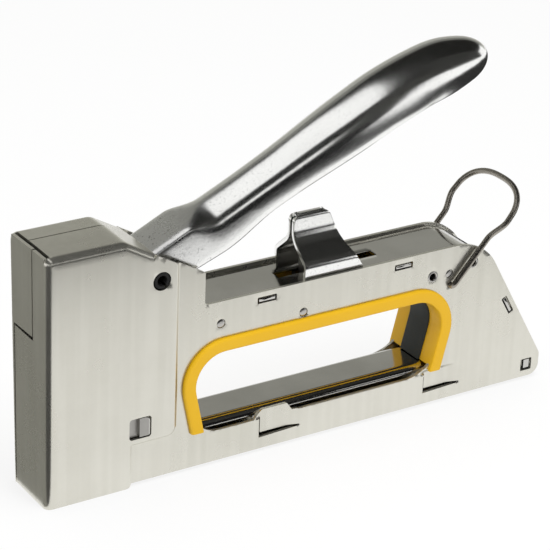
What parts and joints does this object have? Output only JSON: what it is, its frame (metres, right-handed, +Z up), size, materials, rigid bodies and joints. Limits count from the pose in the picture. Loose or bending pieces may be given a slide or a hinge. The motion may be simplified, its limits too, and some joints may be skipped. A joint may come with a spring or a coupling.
{
  "type": "staple gun",
  "caption": "Hand-squeezed steel staple gun with a chromed lever handle, a lined hand opening, a sliding force tab, a wire handle lock and a rear-loading magazine.",
  "frame": {"origin": "centre of the body's length and width, at the height of the nose's foot", "axes": "+X from the nose to the tail, +Y across the body to its right side seen from behind the nose, +Z up from the nose foot to the nose top"},
  "size_m": [0.1714, 0.0292, 0.1134],
  "materials": {
    "plate_steel": "satin nickel plate",
    "deck_steel": "bright plate",
    "plain_steel": "zinc plate",
    "black_steel": "black oxide",
    "chrome": "bright chrome plate",
    "wire_steel": "dull nickel plate",
    "spring_steel": "oiled",
    "grip_plastic": "fine matt",
    "insert_rubber": "matt",
    "buffer_rubber": "matt",
    "end_plastic": "matt"
  },
  "bodies": {
    "body": {"left_side_plate": "plate_steel", "right_side_plate": "plate_steel", "spine_strip": "deck_steel", "nose_guide": "plain_steel", "spring_cap": "plain_steel", "buffer_seat": "plate_steel", "rubber_buffer": "buffer_rubber", "staple_channel": "deck_steel", "pivot_pin": "black_steel", "body_rivets": "plate_steel", "body_eyelets": "plate_steel", "rivet_spacers": "plain_steel", "grip_liner": "grip_plastic", "grip_insert": "insert_rubber", "main_spring": "spring_steel"},
    "handle": {"handle_shell": "chrome", "lift_arms": "plain_steel", "lift_pin": "plain_steel", "lift_roller": "plain_steel", "pivot_bush": "plain_steel", "handle_rivets": "plain_steel"},
    "hammer": {"hammer": "plain_steel", "driver_blade": "plain_steel", "blade_rivets": "plain_steel"},
    "force_slider": {"force_slider": "chrome", "slider_key": "plain_steel"},
    "handle_lock": {"handle_lock_wire": "wire_steel"},
    "magazine": {"magazine_rail": "deck_steel", "magazine_end": "end_plastic", "guide_rod": "plain_steel", "pusher_spring": "spring_steel"},
    "pusher": {"staple_pusher": "plain_steel"}
  },
  "joints": [
    {"name": "handle_squeeze", "type": "hinge", "parent": "body", "child": "handle", "pos_m": [-0.05045, 0, 0.0628], "axis": [0, 1, 0], "range_deg": [0, 21], "stiffness_Nm_per_rad": 1.5, "springref_deg": -11.46},
    {"name": "hammer_lift", "type": "slide", "parent": "body", "child": "hammer", "axis": [0, 0, 1], "range_m": [0, 0.00936], "deforming": ["main_spring"]},
    {"name": "force_slide", "type": "slide", "parent": "body", "child": "force_slider", "axis": [1, 0, 0], "range_m": [-0.008, 0.016]},
    {"name": "lock_swing", "type": "hinge", "parent": "body", "child": "handle_lock", "pos_m": [0.04925, 0, 0.039], "axis": [0, 1, 0], "range_deg": [-71, 76]},
    {"name": "magazine_slide", "type": "slide", "parent": "body", "child": "magazine", "axis": [1, 0, 0], "range_m": [0, 0.08]},
    {"name": "pusher_slide", "type": "slide", "parent": "magazine", "child": "pusher", "axis": [1, 0, 0], "range_m": [0, 0.095], "stiffness_N_per_m": 20, "springref_m": -0.03, "deforming": ["pusher_spring"]}
  ],
  "couplings": [
    {"joint": "hammer_lift", "follows": "handle_squeeze", "m_per_rad": 0.025534}
  ]
}
